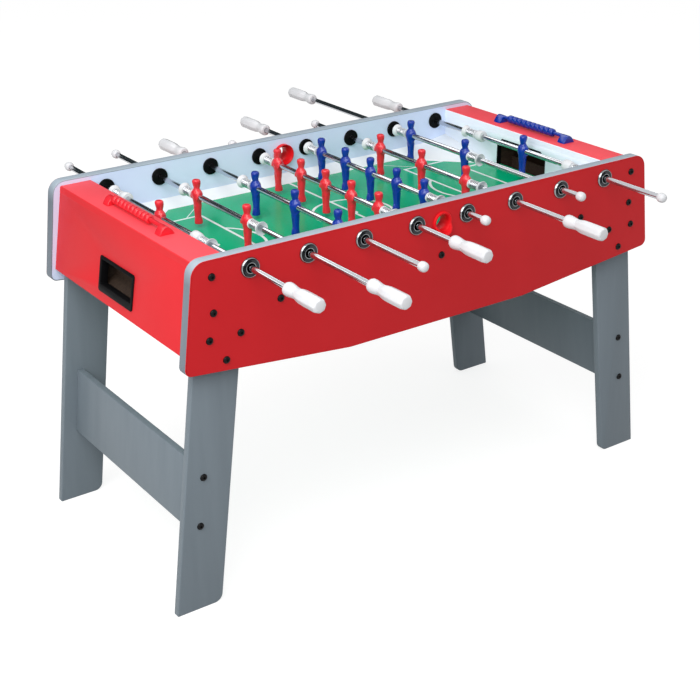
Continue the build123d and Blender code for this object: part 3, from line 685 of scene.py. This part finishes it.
for row in rowList:
    team, role = row.split("_")
    teamPlastic = redPlastic if team == "red" else bluePlastic
    spinner, slider = row + "_spinner", row + "_slider"
    barLow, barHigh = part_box(row + "_rod")
    axisX, axisZ = rodAxis(row)
    clearSelection()
    bpy.ops.mesh.primitive_cylinder_add(vertices=rodBar["sides"], radius=rodBar["radius"],
                                        depth=barHigh.y - barLow.y, rotation=layOut[1],
                                        location=(axisX, (barLow.y + barHigh.y) / 2, axisZ))
    bar = bpy.context.object
    bar.name = pieceName(row, "Rod")
    bpy.ops.object.transform_apply(location=True, rotation=True, scale=True)
    easeEdges(bar, rodBar["chamfer"], 2)
    smoothPiece(bar, rodBar["crease"])
    fit(bar, spinner, steelRod, row + "_rod")

    figureLow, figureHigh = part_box(row + "_players")  # figures stand evenly between the row's two ends
    count = rowPlayers[role]
    halfWidth = (figureHigh.y - figureLow.y) / 2 if count == 1 else figure["halfWidth"]
    first, last = figureLow.y + halfWidth, figureHigh.y - halfWidth
    facing = (0, 0, 0) if team == "red" else (0, 0, math.radians(180))
    squad = []
    for number in range(count):
        across = first if count == 1 else first + (last - first) * number / (count - 1)
        squad.append(placeCopy(figureMaster, "player", (axisX, across, axisZ), facing))
    fit(joinPieces(pieceName(row, "Players"), squad), spinner, teamPlastic, row + "_players")

    gripLow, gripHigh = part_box(row + "_grip")
    handSide = -1 if team == "red" else 1
    handEnd, capEnd = (gripLow.y, gripHigh.y) if handSide < 0 else (gripHigh.y, gripLow.y)
    handStart = handEnd - handSide * grip["length"]
    handle = placeCopy(gripMaster, pieceName(row, "Handle"), (axisX, handStart, axisZ), layOut[handSide])
    fit(handle, spinner, whitePlastic, row + "_grip")
    capStart = capEnd + handSide * endCap["length"]
    cap = placeCopy(capMaster, pieceName(row, "EndCap"), (axisX, capStart, axisZ), layOut[-handSide])
    fit(cap, spinner, whitePlastic, row + "_grip")

    stopLow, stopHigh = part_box(row + "_bumpers")
    for way, endName, reach in ((-1, "Near", stopLow.y), (1, "Far", stopHigh.y)):
        base = reach - way * bumper["length"]
        if role == "goalie":
            collar = placeCopy(collarMaster, pieceName(row, endName + "Collar"),
                               (axisX, base - way * stopCollar["length"], axisZ), layOut[way])
            fit(collar, spinner, whitePlastic, row + "_grip")
        seatStart = base + way * bumper["armGap"]
        seat = placeCopy(seatMaster, pieceName(row, endName + "Seat"), (axisX, seatStart, axisZ), layOut[way])
        fit(seat, slider, whitePlastic, row + "_bumpers")
        coilStart = seatStart + way * bumper["seat"][-1][0]
        coil = placeCopy(springMaster, pieceName(row, endName + "Spring"), (axisX, coilStart, axisZ),
                         layOut[way])
        fit(coil, slider, springSteel, row + "_bumpers")
        cupStart = seatStart + way * bumper["cupFrom"]
        cup = placeCopy(cupMaster, pieceName(row, endName + "Cup"), (axisX, cupStart, axisZ), layOut[way])
        fit(cup, slider, whitePlastic, row + "_bumpers")
scrap(figureMaster, gripMaster, capMaster, collarMaster, seatMaster, cupMaster, springMaster)
print("rows ready")

# bearings: outside a bright rim round a bowl darkened with painted shade and a raised tube, inside a black
# disc on a black bush
bearing = {"panelOut": 0.327, "panelIn": 0.301, "crease": 40,
           "sides": {"rim": 44, "bowl": 44, "tube": 40, "bush": 36, "disc": 40},
           "rim": [(0.0, 0.0186), (0.0, 0.0215), (0.0016, 0.0215), (0.0042, 0.0198), (0.0048, 0.0192),
                   (0.0042, 0.0186)],
           "bowl": [(0.0, 0.0118), (0.0, 0.0187), (0.0041, 0.0187), (0.0022, 0.0168), (0.0012, 0.0145),
                    (0.0012, 0.0118)],
           "tube": [(0.0, 0.0102), (0.0, 0.0120), (0.0038, 0.0120), (0.0050, 0.0115), (0.0050, 0.0102)],
           "bush": [(-0.0255, 0.0068), (-0.0255, 0.0098), (0.0046, 0.0098), (0.0050, 0.0094),
                    (0.0020, 0.0090), (-0.0100, 0.0068)],
           "disc": [(0.0, 0.0068), (0.0, 0.0200), (0.0036, 0.0200), (0.0050, 0.0188), (0.0050, 0.0068)]}
bearingMasters = {}
for part, sides in bearing["sides"].items():
    bearingMasters[part] = turnPiece(part + "Master", bearing[part], sides, bored=True)
    smoothPiece(bearingMasters[part], bearing["crease"])
sets = {"rim": [], "bowl": [], "bush": []}
for row in rowList:
    axisX, axisZ = rodAxis(row)
    for way in (-1, 1):
        outer, inner = way * bearing["panelOut"], way * bearing["panelIn"]
        for part in sets:
            sets[part].append(placeCopy(bearingMasters[part], part, (axisX, outer, axisZ), layOut[way]))
        sets["rim"].append(placeCopy(bearingMasters["tube"], "tube", (axisX, outer, axisZ), layOut[way]))
        sets["bush"].append(placeCopy(bearingMasters["disc"], "disc", (axisX, inner, axisZ), layOut[-way]))
scrap(*bearingMasters.values())
fit(joinPieces("bearingRims", sets["rim"]), "table", chrome, "bearing_dishes")
fit(joinPieces("bearingBowls", sets["bowl"]), "table", shadedBowlChrome, "bearing_dishes")
fit(joinPieces("bearingBushes", sets["bush"]), "table", blackPlastic, "bearing_bushes")
print("bearings ready")

# ball entries: red tube through each side panel, with a ring outside and a scoop under it
entry = {"height": 0.748, "panelIn": 0.301, "ringTop": 0.031, "scoopDrop": 0.006, "scoopSlope": 0.9,
         "sides": 48, "crease": 40, "scoopEase": 0.0005,
         "ring": [(-0.0110, 0.0245), (-0.0110, 0.0260), (0.0, 0.0260), (0.0, 0.0200), (0.0260, 0.0200),
                  (0.0260, 0.0240), (0.0290, 0.0240), (0.0306, 0.0232), (0.0310, 0.0217), (0.0306, 0.0194),
                  (0.0285, 0.0178), (0.0, 0.0176)],
         "scoop": [(0.0300, 0.0186), (0.0300, 0.0240), (0.0470, 0.0236), (0.0470, 0.0218)]}
ringMaster = turnPiece("ringMaster", entry["ring"], entry["sides"], bored=True)
smoothPiece(ringMaster, entry["crease"])
scoopMaster = turnPiece("scoopMaster", entry["scoop"], entry["sides"], bored=True)
pick(scoopMaster)
bpy.ops.object.mode_set(mode="EDIT")
bpy.ops.mesh.select_all(action="SELECT")
bpy.ops.mesh.bisect(plane_co=(0, -entry["scoopDrop"], entry["ringTop"]), plane_no=(0, entry["scoopSlope"], 1),
                    use_fill=True, clear_outer=True)
bpy.ops.object.mode_set(mode="OBJECT")
tidyMesh(scoopMaster)
easeEdges(scoopMaster, entry["scoopEase"], 2, entry["crease"])
smoothPiece(scoopMaster, entry["crease"])
entryMaster = joinPieces("entryMaster", [ringMaster, scoopMaster])
entries = [placeCopy(entryMaster, "entry", (0, -entry["panelIn"], entry["height"]), layOut[-1]),
           placeCopy(entryMaster, "entry", (0, entry["panelIn"], entry["height"]),
                     (math.radians(90), 0, math.radians(180)))]
scrap(entryMaster)
fit(joinPieces("ballEntryCups", entries), "table", entryPlastic, "ball_entry_cups")
print("ball entries ready")

# scorers: a bar between two rounded feet, and ten barrel beads on it
bead = {"count": 10, "length": 0.0162, "sides": 32, "crease": 50,
        "profile": [(0.0, 0.0052), (0.0, 0.0074), (0.0008, 0.0085), (0.0022, 0.0093), (0.0045, 0.0097),
                    (0.0117, 0.0097), (0.0140, 0.0093), (0.0154, 0.0085), (0.0162, 0.0074), (0.0162, 0.0052)]}
scorerRail = {"bar": 0.0047, "barEnds": 0.004, "barSides": 28, "crease": 40,
              "footLength": 0.024, "footSides": 40, "ease": 0.0010, "easeFrom": 50,
              "foot": [(0.0, 0.0180, 0.030, 0, 0), (0.0016, 0.0177, 0.030, 0, 0),
                       (0.0046, 0.0162, 0.029, 0, 0), (0.0086, 0.0134, 0.028, 0, 0),
                       (0.0122, 0.0104, 0.027, 0, 0), (0.0150, 0.0072, 0.025, 0, 0),
                       (0.0172, 0.0030, 0.022, 0, 0)]}


def makeScorerFoot():
    foot = loftPiece("footMaster", scorerRail["foot"], scorerRail["footSides"])
    pick(foot)
    bpy.ops.object.mode_set(mode="EDIT")
    for way in (-1, 1):
        bpy.ops.mesh.select_all(action="SELECT")
        bpy.ops.mesh.bisect(plane_co=(0, way * scorerRail["footLength"] / 2, 0), plane_no=(0, way, 0),
                            use_fill=True, clear_outer=True)
    bpy.ops.object.mode_set(mode="OBJECT")
    tidyMesh(foot)
    easeEdges(foot, scorerRail["ease"], 3, scorerRail["easeFrom"])
    smoothPiece(foot, scorerRail["crease"])
    return foot


beadMaster = turnPiece("beadMaster", bead["profile"], bead["sides"], bored=True)
smoothPiece(beadMaster, bead["crease"])
scorerFoot = makeScorerFoot()
for team, plastic in (("red", redPlastic), ("blue", bluePlastic)):
    railLow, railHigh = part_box(team + "_scorer_rail")
    beadLow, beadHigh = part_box(team + "_scorer_beads")
    middle = ((beadLow.x + beadHigh.x) / 2, (beadLow.z + beadHigh.z) / 2)
    footMiddle = railHigh.y - scorerRail["footLength"] / 2
    barHalf = railHigh.y - scorerRail["footLength"] + scorerRail["barEnds"]
    barStations = [(0.0, scorerRail["bar"]), (2 * barHalf, scorerRail["bar"])]
    barMaster = turnPiece("barMaster", barStations, scorerRail["barSides"])
    bar = placeCopy(barMaster, "bar", (middle[0], -barHalf, middle[1]), layOut[1])
    scrap(barMaster)
    smoothPiece(bar, scorerRail["crease"])
    feet = [placeCopy(scorerFoot, "foot", (middle[0], way * footMiddle, railLow.z)) for way in (-1, 1)]
    fit(joinPieces(team + "ScorerRail", [bar] + feet), "table", plastic, team + "_scorer_rail")
    step = (beadHigh.y - beadLow.y - bead["length"]) / (bead["count"] - 1)
    beads = [placeCopy(beadMaster, "bead", (middle[0], beadLow.y + number * step, middle[1]), layOut[1])
             for number in range(bead["count"])]
    fit(joinPieces(team + "ScorerBeads", beads), team + "_score", plastic, team + "_scorer_beads")
scrap(beadMaster, scorerFoot)
print("scorers ready")

# bolts: domed heads with a hexagon socket
bolt = {"profile": [(0.0, 0.0080), (0.0010, 0.0079), (0.0024, 0.0072), (0.0034, 0.0061), (0.0040, 0.0048)],
        "sides": 28, "crease": 32, "socket": 0.0030, "socketSides": 6, "deep": 0.0024}


def makeBolt():
    head = turnPiece("boltMaster", bolt["profile"], bolt["sides"])
    clearSelection()
    bpy.ops.mesh.primitive_cylinder_add(vertices=bolt["socketSides"], radius=bolt["socket"],
                                        depth=2 * bolt["deep"], location=(0, 0, bolt["profile"][-1][0]))
    cutter = bpy.context.object
    applyModifier(head, "BOOLEAN", operation="DIFFERENCE", solver="EXACT", object=cutter)
    scrap(cutter)
    smoothPiece(head, bolt["crease"])
    return head


def islandBoxes(nodeName):  # one box for each separate solid of a node
    shape = bmesh.new()
    shape.from_mesh(nodes[nodeName].data)
    bmesh.ops.remove_doubles(shape, verts=shape.verts, dist=mergeGap / 2)
    waiting, boxes = set(shape.verts), []
    while waiting:
        stack, found = [waiting.pop()], []
        while stack:
            vertex = stack.pop()
            found.append(vertex.co.copy())
            for edge in vertex.link_edges:
                other = edge.other_vert(vertex)
                if other in waiting:
                    waiting.remove(other)
                    stack.append(other)
        low = Vector([min(point[axis] for point in found) for axis in range(3)])
        high = Vector([max(point[axis] for point in found) for axis in range(3)])
        boxes.append((low, high))
    shape.free()
    return boxes


boltMaster = makeBolt()
for nodeName, name in (("cabinet_bolts", "cabinetBolts"), ("leg_bolts", "legBolts")):
    heads = []
    for low, high in islandBoxes(nodeName):
        way = -1 if low.y < 0 else 1
        seat = high.y if way < 0 else low.y
        place = ((low.x + high.x) / 2, seat, (low.z + high.z) / 2)
        heads.append(placeCopy(boltMaster, "head", place, layOut[way]))
    fit(joinPieces(name, heads), "table", boltBlack, nodeName)
scrap(boltMaster)
print("bolts ready")

# floor, backdrop and lights
floorLook = {"size": 14.0, "height": -0.0005, "colour": (0.36, 0.36, 0.36, 1.0), "glow": 0.78}
# cards seen only in reflections: a dark sheet for painted dark reflections, and a glowing strip, no lamp, for
# painted highlights on the rods
cards = {"reflectionShadeCard": {"middle": (0.5, 3.0, 1.55), "size": (13.0, 3.1),
                      "colour": (0.040, 0.054, 0.058, 1.0), "glow": 0.0},
         # glowing strip, no lamp: painted highlight streaks on the rods
         "highlightGlowCard": {"middle": (0.5, 3.0, 3.7), "size": (13.0, 1.2),
                        "colour": (1.0, 1.0, 1.0, 1.0), "glow": 1.65}}
worldLook = {"colour": (1.0, 1.0, 1.0, 1.0), "light": 0.56, "seen": 1.0}
lampLook = {"place": (-2.42, -1.66, 3.2), "aim": (0.0, 0.0, 0.6), "size": (3.4, 3.4), "power": 154.0}


def seenRays(tree):  # 1 for what the eye, a mirror or glass sees
    path = tree.nodes.new("ShaderNodeLightPath")
    either = calc(tree, "MAXIMUM", path.outputs["Is Camera Ray"], path.outputs["Is Glossy Ray"])
    return calc(tree, "MAXIMUM", either, path.outputs["Is Transmission Ray"])


def makeFloor():
    clearSelection()
    bpy.ops.mesh.primitive_plane_add(size=floorLook["size"], location=(0, 0, floorLook["height"]))
    floor = bpy.context.object
    floor.name = "studioFloor"
    finish = bpy.data.materials.new("studioFloor")
    finish.use_nodes = True
    tree = finish.node_tree
    tree.nodes.clear()
    output = tree.nodes.new("ShaderNodeOutputMaterial")
    paper = tree.nodes.new("ShaderNodeBsdfDiffuse")
    paper.inputs["Color"].default_value = floorLook["colour"]
    glow = tree.nodes.new("ShaderNodeEmission")
    tree.links.new(calc(tree, "MULTIPLY", seenRays(tree), floorLook["glow"]), glow.inputs["Strength"])
    both = tree.nodes.new("ShaderNodeAddShader")
    tree.links.new(paper.outputs[0], both.inputs[0])
    tree.links.new(glow.outputs[0], both.inputs[1])
    tree.links.new(both.outputs[0], output.inputs["Surface"])
    floor.data.materials.append(finish)


def makeCard(name, look):  # card behind the table that only glossy surfaces see, a painted reflection
    clearSelection()
    width, height = look["size"]
    bpy.ops.mesh.primitive_plane_add(size=1.0, location=look["middle"], rotation=(math.radians(90), 0, 0))
    card = bpy.context.object
    card.name = name
    card.scale = (width, height, 1.0)
    bpy.ops.object.transform_apply(location=True, rotation=True, scale=True)
    finish, tree, shader = newFinish(name)
    shader.inputs["Base Color"].default_value = look["colour"]
    shader.inputs["Specular IOR Level"].default_value = 0.0
    shader.inputs["Emission Color"].default_value = look["colour"]
    shader.inputs["Emission Strength"].default_value = look["glow"]
    card.data.materials.append(finish)
    card.visible_camera = card.visible_diffuse = card.visible_transmission = False
    card.visible_shadow = card.visible_volume_scatter = False


def makeWorld():
    world = bpy.data.worlds.new("studioWorld")
    scene.world = world
    world.use_nodes = True
    tree = world.node_tree
    sky = tree.nodes["Background"]
    sky.inputs["Color"].default_value = worldLook["colour"]
    seen = seenRays(tree)
    strength = calc(tree, "MULTIPLY_ADD", seen, worldLook["seen"] - worldLook["light"], worldLook["light"])
    tree.links.new(strength, sky.inputs["Strength"])


def makeLamp(name, lamp):
    data = bpy.data.lights.new(name, "AREA")
    data.shape = "RECTANGLE"
    data.size, data.size_y = lamp["size"]
    data.energy = lamp["power"]
    light = bpy.data.objects.new(name, data)
    scene.collection.objects.link(light)
    light.location = lamp["place"]
    light.rotation_mode = "QUATERNION"
    light.rotation_quaternion = (Vector(lamp["aim"]) - Vector(lamp["place"])).to_track_quat("-Z", "Y")


makeFloor()
for name, look in cards.items():
    makeCard(name, look)
makeWorld()
makeLamp("leftSky", lampLook)
print("studio ready")
